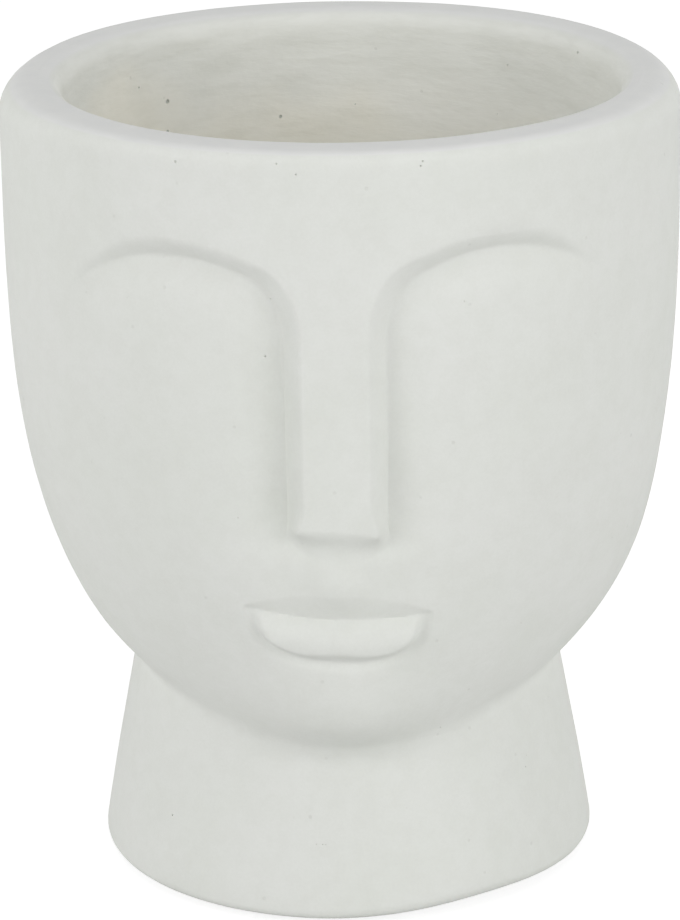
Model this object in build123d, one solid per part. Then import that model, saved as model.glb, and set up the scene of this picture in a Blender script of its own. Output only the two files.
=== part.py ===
from build123d import *
import math
import os

# A head planter: one cement casting, a head with a plain face on a flared neck, hollow from the top.
# A rubber plug closes the drain hole in its floor, and four felt pads stand under its neck.
# Millimetres. The pads stand on z = 0, +Z is up, the pot's axis is the Z axis and the face looks along -Y.
# Every height is above the casting's underside. The head hangs from the rim and the face from the brows,
# so the sizes below say how far each feature lies under the one above it.

# The casting's outside
casting_height = 197.0
head_radius = 82.5
straight_depth = 23.0  # from the rim down, the head is as wide as it gets
jaw_depth = 142.0  # from there down to where the head's curve would close, at the sides
chin_drop = 12.8  # how much lower the curve closes at the front
chin_spread = 38.0  # degrees
head_power = 3.0
head_root = 2.4
neck_height = 50.4
neck_radius = 53.3
base_radius = 62.4
flare_power = 1.1
jaw_softness = 3.5  # the rounding where the head meets the neck, at the sides
chin_softness = 6.0  # the same under the chin
rim_round = 5.0
base_round = 4.5
edge_meet = 6.0  # degrees between these roundings and the faces beside them

# The hollow
wall = 15.0
mouth_round = 5.0
well_radius = 40.0
well_draft = 2.5  # degrees
well_corner = 6.0
floor_thickness = 16.0
hole_radius = 7.0
seat_radius = 13.0
seat_depth = 2.5

# The brows and the sides of the nose, which are the edge of one hollow on each side of the face.
# Sideways places on the face are measured along its curve, from the middle.
brow_arc_radius = 49.0
brow_peak_out = 40.0
brow_drop = 26.0  # from the rim to the brows' highest points
brow_lean = 1.15  # degrees, higher on the +X side
brow_fade_start = 46.0
brow_fade_end = 72.0
brow_end_share = 0.12  # of the slope's width, left where a brow ends
brow_corner = 9.5
nose_half_width = 12.8
slope_width = 5.0  # the sloping face between the hollow's edge and the forehead or the nose's flat front
brow_slope_power = 1.5
nose_slope_power = 1.15
hollow_depth = 1.4
hollow_spread = 26.0
hollow_fade_start = 24.0
hollow_fade_end = 74.0
groove_depth = 2.8
groove_spread = 6.2
groove_deepening_share = 0.4  # how much deeper it is beside the nose
groove_widening_share = 0.2  # and how much wider
hollow_top_rise = 8.0  # full depth from this far above the tip of the nose
hollow_foot_drop = 26.0  # nothing left from this far below it
groove_top_rise = 6.0
groove_foot_drop = 9.0

# The nose
nose_top_drop = 6.0  # from the brows' highest points to where the nose starts
nose_tip_drop = 65.0  # from the same points to its tip
nose_tip_fall = 1.0  # how far the front has fallen back from the forehead at its tip
nose_foot_drop = 8.4  # from its tip to the foot of its underside
nose_corner_rise = 5.5
underside_power = 1.6  # steepest under the tip
nose_tip_softness_share = 0.35
nose_bottom_slope_width = 3.4
nose_bottom_shift = 0.3  # how far the nose has run to the +X side at its tip
nose_bottom_lean = -3.0  # degrees, lower on the +X side

# The mouth
mouth_drop = 23.2  # from the tip of the nose
mouth_half_width = 24.4
mouth_smile = 1.8
mouth_lean = -1.2  # degrees, lower on the +X side
mouth_depth = 1.75
upper_lip_height = 6.6
upper_lip_end = 0.8
lower_lip_half_width = 22.6
lower_lip_height = 11.5
lower_lip_rise = 2.6
lower_lip_edge = 4.0
lower_lip_roll = 7.0
lip_outline_depth = 0.9
lip_outline_spread = 1.9
lip_power = 2.9
philtrum_lift = 9.2  # above the mouth
philtrum_spread = 6.5
philtrum_rise = 2.0

# The chin
chin_fall = 28.8  # from the mouth
chin_half_width = 24.0
chin_upper_height = 13.0
chin_lower_height = 9.0
chin_rise = 4.7

# The drain plug
plug_clearance = 0.15
flange_clearance = 0.5
flange_thickness = 2.5
plug_taper = 0.6
plug_setback = 2.0  # the stem ends this far above the casting's underside
knob_radius = 5.0
knob_neck_radius = 2.8
knob_neck_height = 3.0
knob_height = 4.0
knob_round = 1.5

# The foot pads
pad_radius = 9.0
pad_thickness = 1.5
pad_inset = 5.0  # from the rounding of the casting's lower edge to a pad
pad_edge = 0.4
pad_count = 4

# How finely the casting's skin is divided
ring_spacing = 1.5
points_around = 160
front_crowding_share = 0.55
bowl_points = 12

overrun = 2.0

# Heights that follow from these
widest_height = casting_height - straight_depth
brow_peak_height = casting_height - brow_drop
nose_top_height = brow_peak_height - nose_top_drop
nose_tip_height = brow_peak_height - nose_tip_drop
nose_foot_height = nose_tip_height - nose_foot_drop
hollow_top_height = nose_tip_height + hollow_top_rise
hollow_foot_height = nose_tip_height - hollow_foot_drop
groove_top_height = nose_tip_height + groove_top_rise
groove_foot_height = nose_tip_height - groove_foot_drop
mouth_height = nose_tip_height - mouth_drop
philtrum_height = mouth_height + philtrum_lift
chin_height = mouth_height - chin_fall


def bell(reach):
    return math.exp(-reach * reach)


def share_between(value, start, end):
    return min(max((value - start) / (end - start), 0), 1)


def ease_between(value, start, end):
    share = share_between(value, start, end)
    return share * share * (3 - 2 * share)


def soft_max(first, second, softness):
    near = max(softness - abs(first - second), 0) / softness
    return max(first, second) + near * near * softness / 4


def soft_min(first, second, softness):
    return -soft_max(-first, -second, softness)


def head_outline(angle, height):
    depth = jaw_depth + chin_drop * bell(math.degrees(angle) / chin_spread)
    reach = min(max((widest_height - height) / depth, 0), 1)
    return head_radius * (1 - reach**head_power) ** (1 / head_root)


def neck_outline(height):
    rise = max(height, 0) / neck_height
    return base_radius - (base_radius - neck_radius) * rise**flare_power


def down_nose(height):
    """The share of the nose's length that lies above a height."""
    return share_between(height, nose_top_height, nose_tip_height)


def inside_hollow(sideways, off_nose, height):
    """How far a place on the face is inside the hollow of its side, below the brow and beside the nose."""
    leaned = height - sideways * math.tan(math.radians(brow_lean))
    above = max(leaned - (brow_peak_height - brow_arc_radius), 0)
    below_brow = brow_arc_radius - math.hypot(abs(sideways) - brow_peak_out, above)
    return soft_min(below_brow, abs(off_nose) - nose_half_width, brow_corner)


def hollow_and_nose(angle, sideways, height, head):
    """The radius of the head with its eye hollows and nose."""
    fall = down_nose(height)
    off_nose = sideways - nose_bottom_shift * fall
    inside = inside_hollow(sideways, off_nose, height)
    wide = hollow_depth * (1 - ease_between(abs(sideways), hollow_fade_start, hollow_fade_end))
    wide *= ease_between(height, hollow_foot_height, hollow_top_height)
    brow_share = 1 - ease_between(abs(sideways), brow_fade_start, brow_fade_end)
    beside_nose = ease_between(fall, 0, 0.4)
    tight = groove_depth * brow_share * (1 + groove_deepening_share * beside_nose)
    tight *= ease_between(height, groove_foot_height, groove_top_height)
    spread = groove_spread * (1 + groove_widening_share * beside_nose)
    if inside >= 0:
        return head - wide * bell(inside / hollow_spread) - tight * bell(inside / spread)

    crease = head - wide - tight
    nose_front = (head_radius - nose_tip_fall * fall**2) / math.cos(min(abs(angle), math.pi / 4))
    across = 1 - ease_between(abs(off_nose), nose_half_width, 2 * nose_half_width)
    front = head + max(nose_front - head, 0) * across * ease_between(fall, 0, 0.5)

    narrowing = 1 - ease_between(height, nose_tip_height, nose_tip_height + nose_half_width)
    width = slope_width + (nose_bottom_slope_width - slope_width) * narrowing * across
    width *= brow_end_share + (1 - brow_end_share) * brow_share
    power = brow_slope_power + (nose_slope_power - brow_slope_power) * across
    up_slope = 1 - (1 - min(-inside / width, 1)) ** power

    lean = off_nose * math.tan(math.radians(nose_bottom_lean)) * across
    foot = nose_foot_height + nose_corner_rise * min(abs(off_nose) / nose_half_width, 1) ** 2
    rise = max(height - lean - foot, 0) / (nose_tip_height - foot)
    under = soft_min(rise**underside_power, 1, nose_tip_softness_share)
    return crease + (front - crease) * up_slope * under


def mouth_relief(sideways, height):
    """How far the lips stand out from the face, or in from it."""
    lean = sideways * math.tan(math.radians(mouth_lean))
    span = max(1 - (sideways / mouth_half_width) ** 2, 0)
    line = mouth_height + mouth_smile * (1 - span) + lean
    depth = mouth_depth * span**0.25
    above = height - line
    if above >= 0:
        slope = upper_lip_height * span + upper_lip_end
        return -depth * max(1 - above / slope, 0) ** 1.3

    below = -above
    across_share = abs(sideways) / lower_lip_half_width
    down_share = below / lower_lip_height
    reach = (across_share**lip_power + down_share**lip_power) ** (1 / lip_power)
    edge = math.hypot(sideways, below) * (1 - reach) / reach
    roll = 1 - (1 - min(below / lower_lip_roll, 1)) ** 2
    outline = lip_outline_depth * bell(edge / lip_outline_spread)
    return (lower_lip_rise * ease_between(edge, 0, lower_lip_edge) - outline) * roll - depth * (1 - roll)


def skin_radius(angle, height):
    """The casting's outer radius at an angle from the front, in radians, and a height above its underside."""
    head = head_outline(angle, height)
    sideways = head_radius * angle
    face = hollow_and_nose(angle, sideways, height, head) + mouth_relief(sideways, height)
    face += philtrum_rise * bell(sideways / philtrum_spread) * bell((height - philtrum_height) / philtrum_spread)
    chin_reach = (height - chin_height) / (chin_upper_height if height > chin_height else chin_lower_height)
    face += chin_rise * bell(sideways / chin_half_width) * bell(chin_reach)
    softness = jaw_softness + (chin_softness - jaw_softness) * bell(math.degrees(angle) / chin_spread)
    return soft_max(face, neck_outline(height), softness)


def skin_ring(height):
    """One level line of the skin, a closed curve with its points closest together on the face."""
    points = []
    for step in range(points_around):
        turn = 2 * math.pi * step / points_around
        angle = turn - front_crowding_share * math.sin(turn)
        angle = math.atan2(math.sin(angle), math.cos(angle))
        radius = skin_radius(angle, height)
        points.append(Vector(radius * math.sin(angle), -radius * math.cos(angle), height + pad_thickness))
    shares = [step / points_around for step in range(points_around + 1)]
    return Wire([Edge.make_spline(points, periodic=True, parameters=shares)])


def edge_trim(radius, level, rounding, facing):
    """The ring that comes off an edge to round it, at the top where facing is 1 and underneath where it is -1."""
    centre = radius - rounding
    centre_level = level - facing * rounding
    reach = rounding / math.cos(math.radians(edge_meet))
    outer = radius + overrun
    beyond = level + facing * overrun
    with BuildPart() as ring:
        with BuildSketch(Plane.XZ):
            with BuildLine():
                Polyline(
                    (centre, centre_level + facing * reach),
                    (centre, beyond),
                    (outer, beyond),
                    (outer, centre_level),
                    (centre + reach, centre_level),
                )
                CenterArc((centre, centre_level), reach, 0, facing * 90)
            make_face()
        revolve(axis=Axis.Z)
    return ring.part


def casting_outside():
    """A smooth skin through level rings, with its lower edge and its rim rounded."""
    lowest = 2 * base_round
    highest = casting_height - 2 * rim_round
    ring_count = math.ceil((highest - lowest) / ring_spacing)
    heights = [lowest + (highest - lowest) * step / ring_count for step in range(ring_count + 1)]
    skin = Solid.make_loft([skin_ring(height) for height in (0, *heights, casting_height)])
    lower_edge = edge_trim(neck_outline(base_round), pad_thickness, base_round, -1)
    rim = edge_trim(head_radius, pad_thickness + casting_height, rim_round, 1)
    return skin - lower_edge - rim


def bowl_point(height):
    """The place one wall in, square to the head's outline at the back, from its point at a height."""
    step = wall / 100
    widening = head_outline(math.pi, height + step) - head_outline(math.pi, height)
    lean = math.atan2(widening, step)
    radius = head_outline(math.pi, height) - wall * math.cos(lean)
    return radius, height + wall * math.sin(lean) + pad_thickness


def hollow():
    """What the core leaves empty: the bowl in the head, the well in the neck and the drain hole."""
    underside = pad_thickness
    floor = underside + floor_thickness
    top = underside + casting_height
    mouth_radius = head_radius - wall

    # The bowl's side runs from the mouth down to where it is as narrow as the well.
    bowl = [(mouth_radius, top - mouth_round)]
    for step in range(bowl_points + 1):
        height = widest_height + (neck_height - widest_height) * step / bowl_points
        radius, level = bowl_point(height)
        if radius > well_radius + well_corner:
            bowl.append((radius, level))
    shoulder = bowl[-1][1] - well_corner
    foot_radius = well_radius - (shoulder - floor) * math.tan(math.radians(well_draft))

    with BuildPart() as core:
        with BuildSketch(Plane.XZ):
            with BuildLine():
                Polyline((0, floor), (foot_radius, floor), (well_radius, shoulder))
                side = Spline(*reversed(bowl))
                Line((well_radius, shoulder), side @ 0)
                lip = RadiusArc(side @ 1, (mouth_radius + mouth_round, top), mouth_round)
                Polyline(lip @ 1, (mouth_radius + mouth_round, top + overrun), (0, top + overrun), (0, floor))
            make_face()
        revolve(axis=Axis.Z)
        inner_corners = core.edges().filter_by(GeomType.CIRCLE).group_by(Axis.Z)
        fillet(inner_corners[0], well_corner)
    return core.part


def drain():
    """The drain hole, with a recess at its top that the plug's flange lies in."""
    floor = pad_thickness + floor_thickness
    hole = Cylinder(hole_radius, floor + overrun, align=(Align.CENTER, Align.CENTER, Align.MIN))
    seat = Cylinder(seat_radius, seat_depth + overrun, align=(Align.CENTER, Align.CENTER, Align.MIN))
    return hole + Pos(0, 0, floor - seat_depth) * seat


def drain_plug():
    """A rubber bung: a tapered stem, a flange that seals in its recess, and a knob to pull it up by."""
    seat = pad_thickness + floor_thickness - seat_depth
    end = pad_thickness + plug_setback
    stem_radius = hole_radius - plug_clearance
    flange_radius = seat_radius - flange_clearance
    flange_top = seat + flange_thickness
    knob_foot = flange_top + knob_neck_height
    knob_top = knob_foot + knob_height
    with BuildPart() as plug:
        with BuildSketch(Plane.XZ):
            with BuildLine():
                Polyline(
                    (0, end),
                    (stem_radius - plug_taper, end),
                    (stem_radius, seat),
                    (flange_radius, seat),
                    (flange_radius, flange_top),
                    (knob_neck_radius, flange_top),
                    (knob_neck_radius, knob_foot),
                    (knob_radius, knob_foot),
                    (knob_radius, knob_top),
                    (0, knob_top),
                    close=True,
                )
            make_face()
        revolve(axis=Axis.Z)
        levels = plug.edges().filter_by(GeomType.CIRCLE).group_by(Axis.Z)
        fillet(levels[-1], knob_round)
    return plug.part


def foot_pad(index):
    """One felt disc stuck to the casting's underside."""
    reach = base_radius - base_round - pad_inset - pad_radius
    disc = Cylinder(pad_radius, pad_thickness, align=(Align.CENTER, Align.CENTER, Align.MIN))
    disc = fillet(disc.edges().group_by(Axis.Z)[0], pad_edge)
    turn = 360 * (index + 0.5) / pad_count
    return Rot(0, 0, turn) * Pos(reach, 0, 0) * disc


os.makedirs("parts", exist_ok=True)
export_step(casting_outside() - hollow() - drain(), "parts/pot_body.step")
export_step(drain_plug(), "parts/drain_plug.step")
for index in range(pad_count):
    export_step(foot_pad(index), f"parts/foot_pad_{index + 1}.step")
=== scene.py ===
import math
import random

import bpy
import numpy as np
from mathutils import Matrix, Vector, noise


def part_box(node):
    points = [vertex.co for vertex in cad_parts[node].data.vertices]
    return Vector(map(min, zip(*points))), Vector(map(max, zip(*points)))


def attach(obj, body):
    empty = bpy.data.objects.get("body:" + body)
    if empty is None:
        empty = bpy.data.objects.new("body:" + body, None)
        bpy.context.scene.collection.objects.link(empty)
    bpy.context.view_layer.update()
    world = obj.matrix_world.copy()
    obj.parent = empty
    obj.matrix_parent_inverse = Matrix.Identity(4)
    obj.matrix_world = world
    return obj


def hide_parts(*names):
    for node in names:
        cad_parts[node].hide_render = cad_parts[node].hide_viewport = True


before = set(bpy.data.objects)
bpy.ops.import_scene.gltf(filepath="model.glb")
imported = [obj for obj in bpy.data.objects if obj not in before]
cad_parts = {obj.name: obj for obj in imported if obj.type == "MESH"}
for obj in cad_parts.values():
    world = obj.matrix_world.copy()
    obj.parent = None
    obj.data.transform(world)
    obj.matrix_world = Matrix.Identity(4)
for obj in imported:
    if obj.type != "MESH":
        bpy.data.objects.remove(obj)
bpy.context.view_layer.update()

# The planter dressed for looks: one cement casting with its pinholes and brushed hollow, a rubber plug and
# felt feet. Sizes are in millimetres here, and each mesh is turned into metres when it is made.
METRE = 0.001

# The casting's outside. Heights are above its underside.
pad_thickness = 1.5
casting_height = 197.0
head_radius = 82.5
widest_height = 174.0
jaw_depth = 142.0
chin_drop = 12.8
chin_spread = 38.0
head_power = 3.0
head_root = 2.4
neck_height = 50.4
neck_radius = 53.3
base_radius = 62.4
flare_power = 1.1
jaw_softness = 2.0
chin_softness = 6.0
front_rim_round = 3.7
side_rim_round = 8.0
base_round = 3.0

# Where the casting is uneven round its side: degrees from the front, depths, and how far each fades out
rim_side_degrees = 92
rim_side_fade = 35
worn_degrees = 36
worn_fade = 25
foot_wear_depth = 1.4
worn_rounding = 1.2
sharp_degrees = -45
sharp_fade = 35
sharp_rounding = 0.4
side_degrees = 85
side_fade = 40
fuller_depth = 1.5
fuller_height = 78
fuller_fade = 24
thinner_depth = 1.1
thinner_height = 50
thinner_fade = 9

# The hollow
wall = 15.0
mouth_round = 5.0
core_shift = 0.5
core_margin = 6
well_radius = 40.0
well_draft = 2.5
well_corner = 6.0
floor_thickness = 16.0
hole_radius = 7.0
seat_radius = 13.0
seat_depth = 2.5

# The brows, the eye hollows and the nose
brow_arc_radius = 49.0
brow_peak_out = 40.0
brow_peak_height = 171.0
brow_lean = 1.15
brow_fade_start = 46.0
brow_fade_end = 72.0
brow_end_share = 0.12
brow_corner = 9.5
nose_half_width = 12.8
slope_width = 5.0
brow_slope_power = 1.5
nose_slope_power = 1.15
hollow_depth = 1.4
hollow_spread = 26.0
hollow_fade_start = 24.0
hollow_fade_end = 74.0
groove_depth = 2.8
groove_spread = 6.2
groove_deepening_share = 0.4
groove_widening_share = 0.2
hollow_top_height = 114.0
hollow_foot_height = 80.0
groove_top_height = 112.0
groove_foot_height = 97.0
nose_top_height = 165.0
nose_tip_height = 106.0
nose_tip_fall = 1.0
nose_foot_height = 97.6
nose_corner_rise = 5.5
underside_power = 1.6
nose_tip_softness_share = 0.35
nose_bottom_slope_width = 3.4
nose_flare_height = 7.5
nose_bottom_shift = 0.3
nose_bottom_lean = -3.0

# The mouth and the chin
mouth_height = 82.8
mouth_half_width = 24.4
mouth_smile = 1.8
mouth_lean = -2.0
mouth_depth = 1.75
upper_lip_height = 6.6
upper_lip_end = 0.8
lower_lip_half_width = 23.3
lower_lip_height = 11.5
lower_lip_rise = 2.6
lower_lip_edge = 4.0
lower_lip_roll = 7.0
lip_outline_depth = 0.9
lip_outline_spread = 1.9
lip_power = 3.0
philtrum_height = 92.0
philtrum_spread = 6.5
philtrum_rise = 2.0
chin_height = 54.0
chin_half_width = 24.0
chin_upper_height = 13.0
chin_lower_height = 9.0
chin_rise = 4.7

# How far apart the casting's rows and columns of points are: from each place on, up to the next.
face_rows = (
    (7.6, 2.6),
    (44, 0.75),
    (62, 0.8),
    (68, 0.5),
    (92, 0.8),
    (99, 0.5),
    (109, 1.2),
    (150, 0.7),
    (176, 2.6),
    (188.8, 0),
)
face_columns = ((0, 0.55), (28, 0.8), (72, 1.4), (84, 2.4), (100, 4.0), (math.pi * head_radius, 0))

# Pinholes that the cement shows: degrees from the front, height, radius
pinholes = (
    (-25.6, 193.1, 0.35),
    (-8.7, 194.3, 0.3),
    (-5.8, 191.9, 0.3),
    (14.0, 194.0, 0.3),
    (13.6, 192.4, 0.35),
    (-10.6, 161.5, 0.35),
    (-11.9, 147.4, 0.3),
    (24.5, 46.4, 0.5),
    (-46.2, 18.3, 0.6),
    (-6.4, 18.6, 0.3),
    (-5.0, 17.4, 0.25),
    (-4.2, 18.9, 0.25),
)
inner_pinholes = (
    (-139.5, 178.6, 0.6),
    (-128.9, 184.2, 0.35),
    (-166.5, 171.5, 0.5),
    (-139.6, 170.4, 0.5),
    (119.9, 193.2, 0.35),
)
pinhole_seed = 11
outer_pinhole_count = 45
inner_pinhole_count = 24
# None of the scattered ones falls on the nose.
nose_half_degrees = 15


def bell(reach):
    return np.exp(-reach * reach)


def share_between(value, start, end):
    return np.clip((value - start) / (end - start), 0, 1)


def ease_between(value, start, end):
    share = share_between(value, start, end)
    return share * share * (3 - 2 * share)


def soft_max(first, second, softness):
    near = np.maximum(softness - abs(first - second), 0) / softness
    return np.maximum(first, second) + near * near * softness / 4


def soft_min(first, second, softness):
    return -soft_max(-first, -second, softness)


def head_outline(angle, height):
    depth = jaw_depth + chin_drop * bell(np.degrees(angle) / chin_spread)
    reach = np.clip((widest_height - height) / depth, 0, 1)
    return head_radius * (1 - reach**head_power) ** (1 / head_root)


def neck_outline(height):
    rise = np.maximum(height, 0) / neck_height
    return base_radius - (base_radius - neck_radius) * rise**flare_power


def inside_hollow(sideways, off_nose, height):
    """How far a place is inside the eye hollow of its side, below the brow and beside the nose."""
    leaned = height - sideways * math.tan(math.radians(brow_lean))
    above = np.maximum(leaned - (brow_peak_height - brow_arc_radius), 0)
    below_brow = brow_arc_radius - np.hypot(abs(sideways) - brow_peak_out, above)
    return soft_min(below_brow, abs(off_nose) - nose_half_width, brow_corner)


def hollow_and_nose(angle, sideways, height, head):
    """The radius of the head with its eye hollows and nose."""
    fall = share_between(height, nose_top_height, nose_tip_height)
    off_nose = sideways - nose_bottom_shift * fall
    inside = inside_hollow(sideways, off_nose, height)
    wide = hollow_depth * (1 - ease_between(abs(sideways), hollow_fade_start, hollow_fade_end))
    wide = wide * ease_between(height, hollow_foot_height, hollow_top_height)
    brow_share = 1 - ease_between(abs(sideways), brow_fade_start, brow_fade_end)
    beside_nose = ease_between(fall, 0, 0.4)
    tight = groove_depth * brow_share * (1 + groove_deepening_share * beside_nose)
    tight = tight * ease_between(height, groove_foot_height, groove_top_height)
    spread = groove_spread * (1 + groove_widening_share * beside_nose)
    hollow = head - wide * bell(inside / hollow_spread) - tight * bell(inside / spread)

    crease = head - wide - tight
    nose_front = (head_radius - nose_tip_fall * fall**2) / np.cos(np.minimum(abs(angle), math.pi / 4))
    across = 1 - ease_between(abs(off_nose), nose_half_width, 2 * nose_half_width)
    front = head + np.maximum(nose_front - head, 0) * across * ease_between(fall, 0, 0.5)
    narrowing = 1 - ease_between(height, nose_tip_height, nose_tip_height + nose_flare_height)
    width = slope_width + (nose_bottom_slope_width - slope_width) * narrowing * across
    width = width * (brow_end_share + (1 - brow_end_share) * brow_share)
    power = brow_slope_power + (nose_slope_power - brow_slope_power) * across
    up_slope = 1 - (1 - np.clip(-inside / width, 0, 1)) ** power
    lean = off_nose * math.tan(math.radians(nose_bottom_lean)) * across
    foot = nose_foot_height + nose_corner_rise * np.minimum(abs(off_nose) / nose_half_width, 1) ** 2
    rise = np.maximum(height - lean - foot, 0) / (nose_tip_height - foot)
    under = soft_min(rise**underside_power, 1, nose_tip_softness_share)
    return np.where(inside >= 0, hollow, crease + (front - crease) * up_slope * under)


def mouth_relief(sideways, height):
    """How far the lips stand out from the face, or in from it."""
    lean = sideways * math.tan(math.radians(mouth_lean))
    span = np.maximum(1 - (sideways / mouth_half_width) ** 2, 0)
    above = height - (mouth_height + mouth_smile * (1 - span) + lean)
    depth = mouth_depth * span**0.25
    slope = upper_lip_height * span + upper_lip_end
    upper = -depth * np.maximum(1 - np.maximum(above, 0) / slope, 0) ** 1.3

    below = np.maximum(-above, 1e-6)
    across = (abs(sideways) / lower_lip_half_width) ** lip_power
    reach = (across + (below / lower_lip_height) ** lip_power) ** (1 / lip_power)
    edge = np.hypot(sideways, below) * (1 - reach) / reach
    roll = 1 - (1 - np.minimum(below / lower_lip_roll, 1)) ** 2
    outline = lip_outline_depth * bell(edge / lip_outline_spread)
    lower = (lower_lip_rise * ease_between(edge, 0, lower_lip_edge) - outline) * roll - depth * (1 - roll)
    return np.where(above >= 0, upper, lower)


def lopsided(degrees, height):
    """A hand-filled mould leaves the head a little fuller on one side and flatter on the other."""
    fuller = fuller_depth * bell((degrees - side_degrees) / side_fade)
    thinner = thinner_depth * bell((degrees + side_degrees) / side_fade)
    fuller = fuller * bell((height - fuller_height) / fuller_fade)
    return fuller - thinner * bell((height - thinner_height) / thinner_fade)


def skin_radius(angle, height):
    """The casting's outer radius at angles from the front, in radians, and heights above its underside."""
    head = head_outline(angle, height)
    sideways = head_radius * angle
    face = hollow_and_nose(angle, sideways, height, head) + mouth_relief(sideways, height)
    philtrum = philtrum_rise * bell(sideways / philtrum_spread)
    face = face + philtrum * bell((height - philtrum_height) / philtrum_spread)
    chin_side = np.where(height > chin_height, chin_upper_height, chin_lower_height)
    face = face + chin_rise * bell(sideways / chin_half_width) * bell((height - chin_height) / chin_side)
    softness = jaw_softness + (chin_softness - jaw_softness) * bell(np.degrees(angle) / chin_spread)
    return soft_max(face + lopsided(np.degrees(angle), height), neck_outline(height), softness)


def spaced(stops):
    """Places from the first stop to the last, as far apart as each stop says."""
    places = []
    for (start, spacing), (end, _) in zip(stops, stops[1:]):
        count = math.ceil((end - start) / spacing)
        places += [start + (end - start) * step / count for step in range(count)]
    return places + [stops[-1][0]]


def waves(point, size, seed):
    """Smooth unevenness from -1 to 1 whose lumps are about size millimetres across."""
    return noise.noise(Vector(point) / size + Vector((seed, 2 * seed, 3 * seed)))


def quarter(steps):
    return [math.pi / 2 * step / steps for step in range(1, steps + 1)]


def hollow_profile():
    """Radius and height of the hollow's side, from its mouth down to the foot of the well."""
    mouth = head_radius - wall
    side = [(mouth, casting_height - mouth_round)]
    step = wall / 100
    for height in np.linspace(widest_height, neck_height, 60):
        widening = head_outline(math.pi, height + step) - head_outline(math.pi, height)
        lean = math.atan2(widening, step)
        radius = head_outline(math.pi, height) - wall * math.cos(lean)
        if radius > well_radius + well_corner:
            side.append((radius, height + wall * math.sin(lean)))
    shoulder = side[-1][1] - well_corner
    foot = well_radius - (shoulder - floor_thickness) * math.tan(math.radians(well_draft))
    side += [(well_radius, shoulder), (foot, floor_thickness + well_corner)]
    side = np.array(side)
    reach = np.concatenate([[0], np.cumsum(np.hypot(*np.diff(side, axis=0).T))])
    even = np.linspace(0, reach[-1], int(reach[-1] / 2.6))
    line = np.column_stack([np.interp(even, reach, side[:, 0]), np.interp(even, reach, side[:, 1])])
    for _ in range(3):
        line[1:-1] = (line[:-2] + 2 * line[1:-1] + line[2:]) / 4
    return line, foot


def base_rounding(angle):
    """The foot's edge is rounder where it is worn, and sharper on the -X side."""
    degrees = np.degrees(angle)
    rounder = worn_rounding * bell((degrees - worn_degrees) / worn_fade)
    return base_round + rounder - sharp_rounding * bell((degrees - sharp_degrees) / sharp_fade)


def foot_wear(angle):
    """How far the foot's lower edge is worn up, most on the +X side of the front."""
    return foot_wear_depth * bell((np.degrees(angle) - worn_degrees) / worn_fade)


def rim_rounding(angle):
    """The rim is rounded more at its sides than in front and at the back."""
    beside = bell((abs(np.degrees(angle)) - rim_side_degrees) / rim_side_fade)
    return front_rim_round + (side_rim_round - front_rim_round) * beside


def casting_rows(angles):
    """The casting's rows of points, once round its section: radius and height at each angle, and zone."""
    level = np.ones_like(angles)
    rows = []

    def ring(radius, height, zone):
        rows.append((level * radius, level * height, zone))

    for radius in (hole_radius, 9, 13, 20, 28, 36, 44, 53):
        ring(radius, 0, "under")
    rows.append((base_radius - base_rounding(angles), foot_wear(angles), "under"))
    for turn in quarter(6):
        rounding = base_rounding(angles)
        height = foot_wear(angles) + rounding * (1 - math.cos(turn))
        rows.append((skin_radius(angles, height) - rounding * (1 - math.sin(turn)), height, "out"))
    for height in spaced(face_rows):
        rows.append((skin_radius(angles, level * height), level * height, "out"))
    rounding = rim_rounding(angles)
    top = face_rows[-1][0]
    start = casting_height - rounding * (1 - math.sin(quarter(8)[0]))
    for share in (0.25, 0.5, 0.75):
        rows.append((level * head_radius, top + (start - top) * share, "out"))
    for turn in quarter(8):
        height = casting_height - rounding * (1 - math.sin(turn))
        rows.append((head_radius - rounding * (1 - math.cos(turn)), height, "out" if turn < 0.8 else "rim"))
    mouth = head_radius - wall
    for share in np.linspace(0, 1, 5)[1:]:
        across = (mouth + mouth_round - head_radius + rounding) * share
        rows.append((head_radius - rounding + across, level * casting_height, "rim"))
    for turn in quarter(4):
        height = casting_height - mouth_round * (1 - math.cos(turn))
        ring(mouth + mouth_round * (1 - math.sin(turn)), height, "rim" if turn < 0.5 else "in")
    line, foot = hollow_profile()
    for radius, height in line[1:]:
        ring(radius, height, "in")
    for turn in quarter(5):
        height = floor_thickness + well_corner * (1 - math.sin(turn))
        ring(foot - well_corner * (1 - math.cos(turn)), height, "in")
    for radius in (28, 23, 18, seat_radius + 0.3):
        ring(radius, floor_thickness, "in")
    seat = floor_thickness - seat_depth
    ring(seat_radius, floor_thickness - 0.3, "in")
    ring(seat_radius, seat, "in")
    ring(10, seat, "in")
    ring(hole_radius, seat, "in")
    ring(hole_radius, seat / 2, "in")
    return rows


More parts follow.
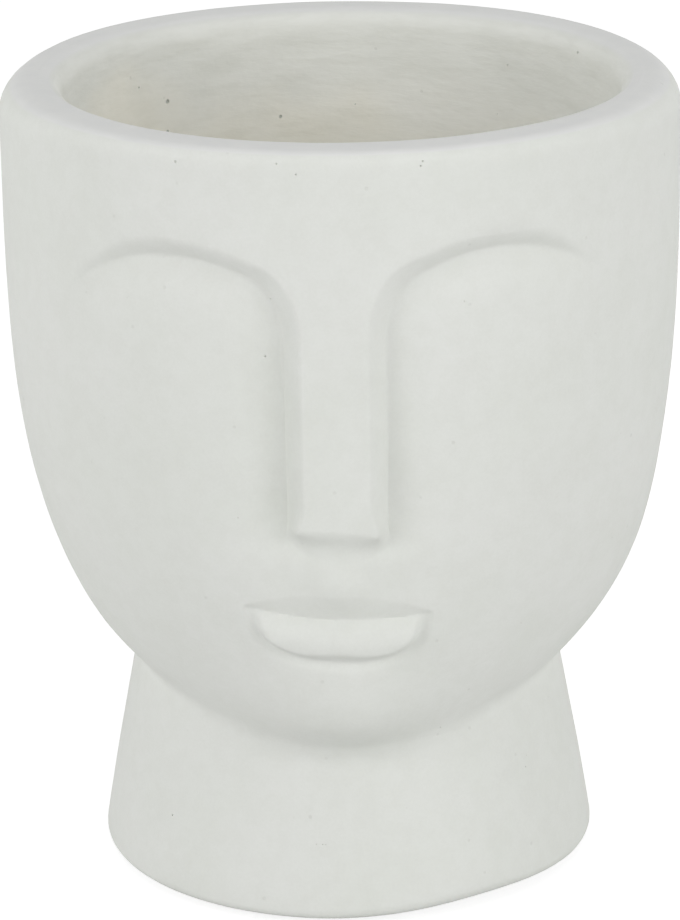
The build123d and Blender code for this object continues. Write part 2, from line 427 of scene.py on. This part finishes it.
def pit(points, faces, corners, size, deep):
    """Puts a round pinhole in place of one four-sided face."""
    p = [np.array(points[c]) for c in corners]
    centre = sum(p) / 4
    normal = np.cross(p[2] - p[0], p[3] - p[1])
    normal /= np.linalg.norm(normal)
    across = p[1] - p[0]
    across -= normal * across.dot(normal)
    across /= np.linalg.norm(across)
    up = np.cross(normal, across)
    room = min(np.linalg.norm((p[k] + p[(k + 1) % 4]) / 2 - centre) for k in range(4))
    size = min(size, 0.8 * room)
    start = len(points)
    for shrink, depth in ((1, 0), (0.85, 0.5), (0.5, 1)):
        for step in range(8):
            turn = math.radians(-157.5 + 45 * step)
            outward = across * math.cos(turn) + up * math.sin(turn)
            place = centre + size * shrink * outward - normal * depth * deep
            points.append(tuple(place))
    # The ring of eight starts at the first corner's side, so each corner meets two of its points.
    for k in range(4):
        a = start + (2 * k) % 8
        b = start + (2 * k + 1) % 8
        c = start + (2 * k + 2) % 8
        faces.append((corners[k], b, a))
        faces.append((corners[k], corners[(k + 1) % 4], c, b))
    for depth in (0, 8):
        for step in range(8):
            following = (step + 1) % 8
            a = start + depth
            faces.append((a + step, a + following, a + 8 + following, a + 8 + step))
    faces.append(tuple(start + 16 + step for step in range(8)))


def new_object(name, points, faces, smooth=True):
    mesh = bpy.data.meshes.new(name)
    mesh.from_pydata((np.array(points) * METRE).tolist(), [], faces)
    mesh.validate()
    mesh.update()
    mesh.polygons.foreach_set("use_smooth", [smooth] * len(mesh.polygons))
    piece = bpy.data.objects.new(name, mesh)
    bpy.context.scene.collection.objects.link(piece)
    return piece


def uneven(points, zones):
    """Leaves the casting a little uneven, as a hand-filled mould does. Only inwards, so it keeps its size."""
    for index, (point, zone) in enumerate(zip(points, zones)):
        x, y, z = point
        radius = math.hypot(x, y)
        if zone != "out" and z > neck_height:
            inner = share_between(radius, head_radius - core_margin, head_radius - wall)
            x += core_shift * inner * share_between(z, neck_height, widest_height)
        if zone == "out":
            push = 0.16 * (1 + waves(point, 45, 1)) + 0.05 * (1 + waves(point, 14, 2))
            push += 0.018 * (1 + waves(point, 5, 3))
            share = 1 - push / radius
            points[index] = (x * share, y * share, z)
        elif zone == "rim":
            points[index] = (x, y, z - 0.12 * (1 + waves(point, 30, 4)) - 0.04 * (1 + waves(point, 7, 5)))
        elif zone == "in" and z > floor_thickness + pad_thickness + 1:
            flat = (x, y, 3.2 * z)
            push = 0.35 * waves(point, 28, 6) + 0.25 * waves(flat, 14, 7)
            push = push + 0.1 * waves(flat, 6, 8) + 0.22 * waves(point, 8, 12)
            share = 1 + push * min((z - floor_thickness - pad_thickness) / 20, 1) / radius
            points[index] = (x * share, y * share, z)
    return points


def casting():
    half = spaced(face_columns)
    across = [-place for place in reversed(half[1:-1])] + half
    angles = np.array(across) / head_radius
    rows = casting_rows(angles)
    points = []
    zones = []
    for radius, height, zone in rows:
        for r, a, z in zip(radius, angles, height):
            points.append((r * math.sin(a), -r * math.cos(a), z + pad_thickness))
            zones.append(zone)
    points = uneven(points, zones)

    wide = len(angles)
    deep = len(rows)
    heights = np.array([height for _, height, _ in rows])
    is_out = np.array([zone == "out" for _, _, zone in rows])
    is_in = np.array([zone == "in" for _, _, zone in rows])
    holes = {}

    def place_hole(degrees, height, size, zone):
        column = int(np.argmin(abs(np.degrees(angles) - degrees))) % wide
        row = int(np.argmin(abs(heights[:, column] - height) + 1000 * ~zone))
        if (row, column) not in holes and zone[min(row + 1, deep - 1)]:
            holes[(row, column)] = size

    for degrees, height, size in pinholes:
        place_hole(degrees, height, size, is_out)
    for degrees, height, size in inner_pinholes:
        place_hole(degrees, height, size, is_in)
    pick = random.Random(pinhole_seed)
    for _ in range(outer_pinhole_count):
        degrees = pick.uniform(-180, 180)
        height = pick.uniform(10, 186)
        size = pick.uniform(0.1, 0.2)
        if abs(degrees) > nose_half_degrees or height > brow_peak_height + 1:
            place_hole(degrees, height, size, is_out)
    for _ in range(inner_pinhole_count):
        place_hole(pick.uniform(-180, 180), pick.uniform(60, 190), pick.uniform(0.12, 0.3), is_in)

    faces = []
    for row in range(deep):
        following = (row + 1) % deep
        for column in range(wide):
            beside = (column + 1) % wide
            low = row * wide
            high = following * wide
            corners = (low + column, low + beside, high + beside, high + column)
            if (row, column) in holes:
                size = holes[(row, column)]
                pit(points, faces, corners, size, size)
                # The outer eight of a pinhole's points lie on the skin, and the other sixteen in the hole.
                zones += [rows[row][2]] * 8 + ["pit"] * 16
            else:
                faces.append(corners)
    piece = new_object("cement_casting", points, faces)
    piece.data.set_sharp_from_angle(angle=math.radians(50))
    for name in ("out", "rim", "in", "pit"):
        layer = piece.data.attributes.new("on_" + name, "FLOAT", "POINT")
        layer.data.foreach_set("value", np.array([zone == name for zone in zones], np.float32))
    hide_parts("pot_body")
    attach(piece, "pot")
    return piece


def turned(name, profile, columns, wobble=0):
    """A solid turned about the pot's axis, from a profile of radius and height that begins and ends on it."""
    points = [(0, 0, profile[0][1])]
    for radius, height in profile[1:-1]:
        for step in range(columns):
            angle = 2 * math.pi * step / columns
            points.append((radius * math.sin(angle), -radius * math.cos(angle), height))
    points.append((0, 0, profile[-1][1]))
    last = len(points) - 1
    faces = []
    rings = len(profile) - 2
    for step in range(columns):
        beside = (step + 1) % columns
        faces.append((0, 1 + beside, 1 + step))
        for ring in range(rings - 1):
            low = 1 + ring * columns
            faces.append((low + step, low + beside, low + columns + beside, low + columns + step))
        top = 1 + (rings - 1) * columns
        faces.append((last, top + step, top + beside))
    return new_object(name, points, faces)


def rounded(corners, steps=4):
    """A profile with its corners rounded: each corner is radius, height and rounding."""
    line = []
    for index, (x, z, rounding) in enumerate(corners):
        here = np.array((x, z))
        if rounding == 0 or index in (0, len(corners) - 1):
            line.append(tuple(here))
            continue
        before = np.array(corners[index - 1][:2]) - here
        after = np.array(corners[index + 1][:2]) - here
        before /= np.linalg.norm(before)
        after /= np.linalg.norm(after)
        start = here + before * rounding
        end = here + after * rounding
        for step in range(steps + 1):
            t = step / steps
            line.append(tuple((1 - t) ** 2 * start + 2 * t * (1 - t) * here + t * t * end))
    return line


def plug():
    low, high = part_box("drain_plug")
    end = low.z / METRE
    top = high.z / METRE
    flange = high.x / METRE
    seat = pad_thickness + floor_thickness - seat_depth
    lid = pad_thickness + floor_thickness
    stem = hole_radius - 0.15
    corners = [
        (0, end + 0.6, 0),
        (3.6, end + 0.6, 0.3),
        (4.2, end, 0.3),
        (stem - 0.6, end, 0.7),
        (stem - 0.4, end + 4.2, 0.2),
        (stem - 0.75, end + 4.8, 0.2),
        (stem - 0.35, end + 5.4, 0.2),
        (stem, seat, 0),
        (flange, seat, 0.35),
        (flange, lid, 0.6),
        (flange - 1.6, lid, 0.2),
        (flange - 2.0, lid - 0.35, 0.15),
        (flange - 2.7, lid - 0.35, 0.15),
        (flange - 3.1, lid, 0.2),
        (2.8, lid, 0.8),
        (2.8, lid + 3.0, 0.6),
        (5.0, lid + 3.2, 0.5),
        (5.0, top, 1.5),
        (2.6, top, 0.3),
        (2.1, top - 0.4, 0.2),
        (0, top - 0.4, 0),
    ]
    piece = turned("rubber_plug", rounded(corners), 96)
    piece.data.set_sharp_from_angle(angle=math.radians(40))
    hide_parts("drain_plug")
    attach(piece, "plug")
    return piece


def felt_pad(node):
    """A pressed felt disc whose cut edge is a little ragged."""
    low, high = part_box(node)
    middle = (low + high) / 2
    radius = (high.x - low.x) / 2 / METRE
    top = high.z / METRE
    corners = [
        (0, 0, 0),
        (radius * 0.5, 0, 0.2),
        (radius, 0, 0.45),
        (radius, top, 0.2),
        (radius * 0.5, top, 0.2),
        (0, top, 0),
    ]
    piece = turned("felt_" + node, rounded(corners), 120)
    for vertex in piece.data.vertices:
        x, y, z = vertex.co / METRE
        out = math.hypot(x, y)
        if out > radius * 0.8:
            share = 1 - (0.12 * (1 + waves((x, y, z), 1.6, 9)) + 0.06 * (1 + waves((x, y, z), 0.7, 10))) / out
            vertex.co.x *= share
            vertex.co.y *= share
    piece.data.transform(Matrix.Translation((middle.x, middle.y, 0)))
    piece.data.update()
    piece.data.set_sharp_from_angle(angle=math.radians(60))
    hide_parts(node)
    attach(piece, "pot")
    return piece


class Nodes:
    """Writes a material's node tree from left to right."""

    def __init__(self, name):
        self.material = bpy.data.materials.new(name)
        self.material.use_nodes = True
        self.tree = self.material.node_tree
        self.shader = self.tree.nodes["Principled BSDF"]

    def add(self, kind, inputs=None, **settings):
        node = self.tree.nodes.new(kind)
        for name, value in settings.items():
            setattr(node, name, value)
        for name, value in (inputs or {}).items():
            self.set(node.inputs[name], value)
        return node

    def set(self, socket, value):
        if isinstance(value, bpy.types.NodeSocket):
            self.tree.links.new(value, socket)
        else:
            socket.default_value = value

    def place(self, scale=(1, 1, 1)):
        """Where a point is on the piece, in metres."""
        where = self.add("ShaderNodeTexCoord").outputs["Object"]
        return self.add("ShaderNodeMapping", {"Vector": where, "Scale": scale}).outputs["Vector"]

    def clouds(self, where, scale, detail=3, rough=0.55):
        inputs = {"Vector": where, "Scale": scale, "Detail": detail, "Roughness": rough}
        return self.add("ShaderNodeTexNoise", inputs).outputs["Fac"]

    def ramp(self, value, low, high, start=0.0, end=1.0):
        found = self.add(
            "ShaderNodeMapRange",
            {"Value": value, "From Min": low, "From Max": high, "To Min": start, "To Max": end},
            interpolation_type="SMOOTHSTEP",
        )
        return found.outputs["Result"]

    def math(self, kind, first, second):
        found = self.add("ShaderNodeMath", operation=kind)
        self.set(found.inputs[0], first)
        self.set(found.inputs[1], second)
        return found.outputs[0]

    def mix(self, factor, first, second, blend="MIX"):
        found = self.add("ShaderNodeMix", data_type="RGBA", blend_type=blend)
        self.set(found.inputs[0], factor)
        self.set(found.inputs[6], first)
        self.set(found.inputs[7], second)
        return found.outputs[2]

    def layer(self, name):
        return self.add("ShaderNodeAttribute", attribute_name=name).outputs["Fac"]

    def bump(self, height, strength, distance, normal=None):
        inputs = {"Height": height, "Strength": strength, "Distance": distance}
        if normal is not None:
            inputs["Normal"] = normal
        return self.add("ShaderNodeBump", inputs).outputs["Normal"]


def cement():
    n = Nodes("chalky_cement")
    where = n.place()
    flat = n.place((1, 1, 3.5))
    broad = n.clouds(where, 16)
    fine = n.clouds(where, 120, 4)
    grain = n.clouds(where, 1400, 2)

    # Chalky white that drifts a little warmer and greener in patches
    outside = n.mix(n.ramp(broad, 0.35, 0.65), (0.778, 0.790, 0.757, 1), (0.768, 0.786, 0.744, 1))
    outside = n.mix(n.ramp(fine, 0.3, 0.75, 0, 0.55), outside, (0.80, 0.81, 0.78, 1))
    outside = n.mix(n.ramp(grain, 0.3, 0.7, 0, 0.28), outside, (0.735, 0.747, 0.71, 1))

    # Cooler and greyer where the rim was sanded flat
    rim = n.mix(n.ramp(fine, 0.3, 0.7), (0.775, 0.782, 0.77, 1), (0.80, 0.806, 0.79, 1))

    # The hollow is yellower, more so lower down, and painted lighter there too: painted light against the
    # shade deep in the hollow
    apart = n.add("ShaderNodeSeparateXYZ", {"Vector": where})
    height = apart.outputs["Z"]
    drift = n.math("MULTIPLY_ADD", broad, 0.03)
    drift.node.inputs[2].default_value = -0.015
    lower = n.ramp(n.math("ADD", height, drift), 0.193, 0.162)
    brushing = n.ramp(n.clouds(flat, 70, 4), 0.3, 0.7)
    hollow = n.mix(brushing, (0.755, 0.765, 0.725, 1), (0.785, 0.795, 0.758, 1))
    # Painted light: the lower hollow gets a lighter colour than the walls above it, to offset the shade that
    # falls there.
    hollow = n.mix(n.math("MULTIPLY", lower, 0.95), hollow, (0.905, 0.905, 0.863, 1))
    damp = n.math("ADD", height, n.math("MULTIPLY", n.clouds(where, 22, 2), 0.05))
    # The stain reaches further up on the -X side.
    damp = n.math("ADD", damp, n.math("MULTIPLY", apart.outputs["X"], 0.14))
    hollow = n.mix(n.ramp(damp, 0.207, 0.188, 0, 0.9), hollow, (0.90, 0.885, 0.808, 1))

    streaks = n.ramp(n.clouds(flat, 85, 5, 0.62), 0.42, 0.68, 0, 0.8)
    hollow = n.mix(streaks, hollow, (0.95, 0.95, 0.942, 1), "MULTIPLY")
    blotches = n.ramp(n.clouds(where, 60, 5, 0.65), 0.42, 0.66, 0, 0.7)
    outside = n.mix(blotches, outside, (0.97, 0.972, 0.965, 1), "MULTIPLY")
    flecks = n.ramp(n.clouds(where, 230, 2), 0.38, 0.64, 0, 0.8)
    outside = n.mix(flecks, outside, (0.982, 0.982, 0.978, 1), "MULTIPLY")

    colour = n.mix(n.layer("on_rim"), outside, rim)
    colour = n.mix(n.layer("on_in"), colour, hollow)
    # Painted shade: the insides of the pinholes are painted darker.
    colour = n.mix(n.math("MULTIPLY", n.layer("on_pit"), 0.22), colour, (0.35, 0.35, 0.31, 1))

    # Specks too small to model: tiny pits, dented by the bump below and painted darker as painted shade
    # inside them
    specks = n.add("ShaderNodeTexVoronoi", {"Vector": where, "Scale": 260.0}, feature="F1")
    lot = n.add("ShaderNodeSeparateColor", {"Color": specks.outputs["Color"]}).outputs[0]
    rare = n.math("GREATER_THAN", lot, 0.93)
    dot = n.math("MULTIPLY", n.ramp(specks.outputs["Distance"], 0.16, 0.06), rare)
    colour = n.mix(n.math("MULTIPLY", dot, 0.14), colour, (0.42, 0.42, 0.38, 1))

    n.set(n.shader.inputs["Base Color"], colour)
    n.set(n.shader.inputs["Roughness"], n.ramp(fine, 0.3, 0.7, 0.84, 0.94))
    n.shader.inputs["Specular IOR Level"].default_value = 0.25
    normal = n.bump(n.clouds(where, 500, 4, 0.6), 0.26, 0.00012)
    brushed = n.math("MULTIPLY", n.clouds(flat, 160, 4), n.layer("on_in"))
    normal = n.bump(brushed, 0.5, 0.0004, normal)
    normal = n.bump(dot, 0.35, -0.0002, normal)
    n.set(n.shader.inputs["Normal"], normal)
    return n.material


def rubber():
    n = Nodes("matt_rubber")
    where = n.place()
    dust = n.ramp(n.clouds(where, 260, 4), 0.45, 0.75)
    n.set(n.shader.inputs["Base Color"], n.mix(dust, (0.028, 0.028, 0.029, 1), (0.055, 0.053, 0.05, 1)))
    n.set(n.shader.inputs["Roughness"], n.ramp(n.clouds(where, 400), 0.3, 0.7, 0.55, 0.72))
    n.set(n.shader.inputs["Normal"], n.bump(n.clouds(where, 2600, 2), 0.25, 0.00006))
    return n.material


def felt():
    n = Nodes("pressed_felt")
    where = n.place()
    fibres = n.clouds(n.place((1, 6, 3)), 900, 4, 0.7)
    crossing = n.clouds(n.place((6, 1, 3)), 900, 4, 0.7)
    strands = n.math("MAXIMUM", fibres, crossing)
    colour = n.mix(n.ramp(strands, 0.4, 0.75), (0.30, 0.285, 0.255, 1), (0.47, 0.45, 0.41, 1))
    colour = n.mix(n.ramp(n.clouds(where, 180), 0.4, 0.7, 0, 0.4), colour, (0.36, 0.34, 0.31, 1))
    n.set(n.shader.inputs["Base Color"], colour)
    n.shader.inputs["Roughness"].default_value = 0.95
    n.shader.inputs["Sheen Weight"].default_value = 0.3
    n.set(n.shader.inputs["Normal"], n.bump(strands, 0.7, 0.0003))
    return n.material


def paint(piece, material):
    piece.data.materials.clear()
    piece.data.materials.append(material)


def stage_floor():
    """A pale floor, a hair below the pads so that no two faces lie in one plane."""
    size = 6.0
    floor_gap = 0.1
    mesh = bpy.data.meshes.new("floor")
    corners = [(-size, -size, 0), (size, -size, 0), (size, size, 0), (-size, size, 0)]
    mesh.from_pydata(corners, [], [(0, 1, 2, 3)])
    floor = bpy.data.objects.new("floor", mesh)
    floor.location.z = -floor_gap * METRE
    bpy.context.scene.collection.objects.link(floor)
    n = Nodes("pale_floor")
    tree = n.tree
    tree.nodes.remove(n.shader)
    plain = n.add("ShaderNodeBsdfDiffuse", {"Color": (0.8, 0.8, 0.8, 1)})
    shaded = n.add("ShaderNodeBsdfDiffuse", {"Color": (0.4, 0.4, 0.4, 1)})
    glow = n.add("ShaderNodeEmission", {"Strength": 0.8})
    bright = n.add("ShaderNodeAddShader")
    tree.links.new(shaded.outputs[0], bright.inputs[0])
    tree.links.new(glow.outputs[0], bright.inputs[1])
    seen = n.add("ShaderNodeMixShader", {0: n.add("ShaderNodeLightPath").outputs["Is Camera Ray"]})
    tree.links.new(plain.outputs[0], seen.inputs[1])
    tree.links.new(bright.outputs[0], seen.inputs[2])
    tree.links.new(seen.outputs[0], tree.nodes["Material Output"].inputs["Surface"])
    paint(floor, n.material)


def world_light():
    """White where the camera or a reflection looks, elsewhere a soft light that fades from the horizon up."""
    world = bpy.data.worlds.new("studio")
    bpy.context.scene.world = world
    world.use_nodes = True
    tree = world.node_tree
    tree.nodes.clear()

    def add(kind):
        return tree.nodes.new(kind)

    def link(start, end):
        tree.links.new(start, end)

    rise = add("ShaderNodeSeparateXYZ")
    link(add("ShaderNodeTexCoord").outputs["Generated"], rise.inputs[0])
    level = add("ShaderNodeMapRange")
    level.inputs["To Min"].default_value = 1.2
    level.inputs["To Max"].default_value = 0.0
    link(rise.outputs["Z"], level.inputs["Value"])
    soft = add("ShaderNodeBackground")
    link(level.outputs[0], soft.inputs["Strength"])
    white = add("ShaderNodeBackground")
    path = add("ShaderNodeLightPath")
    either = add("ShaderNodeMath")
    either.operation = "MAXIMUM"
    link(path.outputs["Is Camera Ray"], either.inputs[0])
    link(path.outputs["Is Glossy Ray"], either.inputs[1])
    any_of = add("ShaderNodeMath")
    any_of.operation = "MAXIMUM"
    link(either.outputs[0], any_of.inputs[0])
    link(path.outputs["Is Transmission Ray"], any_of.inputs[1])
    mix = add("ShaderNodeMixShader")
    link(any_of.outputs[0], mix.inputs[0])
    link(soft.outputs[0], mix.inputs[1])
    link(white.outputs[0], mix.inputs[2])
    link(mix.outputs[0], add("ShaderNodeOutputWorld").inputs[0])


def lamp(name, place, target, size, power):
    light = bpy.data.lights.new(name, "AREA")
    light.size = size
    light.energy = power
    holder = bpy.data.objects.new(name, light)
    holder.location = place
    holder.rotation_euler = (Vector(target) - Vector(place)).to_track_quat("-Z", "Y").to_euler()
    bpy.context.scene.collection.objects.link(holder)


def camera():
    """Stands where the photograph was taken from."""
    azimuth = math.radians(1.5)
    pitch = math.radians(18.63)
    roll = math.radians(0.7)
    distance = 0.9371
    place = Vector((distance * math.sin(azimuth), -distance * math.cos(azimuth), 0.4149))
    level = math.cos(pitch)
    ahead = Vector((-math.sin(azimuth) * level, math.cos(azimuth) * level, -math.sin(pitch)))
    right = Vector((math.cos(azimuth), math.sin(azimuth), 0))
    up = right.cross(ahead)
    turned_right = right * math.cos(roll) - up * math.sin(roll)
    turned_up = up * math.cos(roll) + right * math.sin(roll)
    lens = bpy.data.cameras.new("camera")
    lens.sensor_fit = "VERTICAL"
    lens.sensor_height = 36
    lens.lens = 3966.8 / 920 * 36
    lens.shift_x = -(344.6 - 340) / 920
    holder = bpy.data.objects.new("camera", lens)
    turn = Matrix((turned_right, turned_up, -ahead)).transposed().to_4x4()
    holder.matrix_world = Matrix.Translation(place) @ turn
    bpy.context.scene.collection.objects.link(holder)
    bpy.context.scene.camera = holder


camera()
world_light()
lamp("right", (1.6, -0.4, 0.35), (0, 0, 0.1), 0.9, 3.0)
lamp("back_left", (-1.5, 0.7, 0.3), (0, 0, 0.1), 0.9, 3.6)
lamp("front_left", (-1.2, -1.3, 0.85), (0, 0, 0.1), 1.0, 9.0)
lamp("front_right", (1.2, -1.3, 0.85), (0, 0, 0.1), 1.0, 7.35)
lamp("above", (0, -0.2, 2.0), (0, 0, 0.1), 1.6, 9.0)
lamp("behind", (0.7, 1.7, 0.7), (0, 0, 0.1), 1.0, 4.0)
stage_floor()
paint(casting(), cement())
paint(plug(), rubber())
felt_material = felt()
for pad_node in ("foot_pad_1", "foot_pad_2", "foot_pad_3", "foot_pad_4"):
    paint(felt_pad(pad_node), felt_material)
bpy.context.scene.view_settings.view_transform = "Standard"
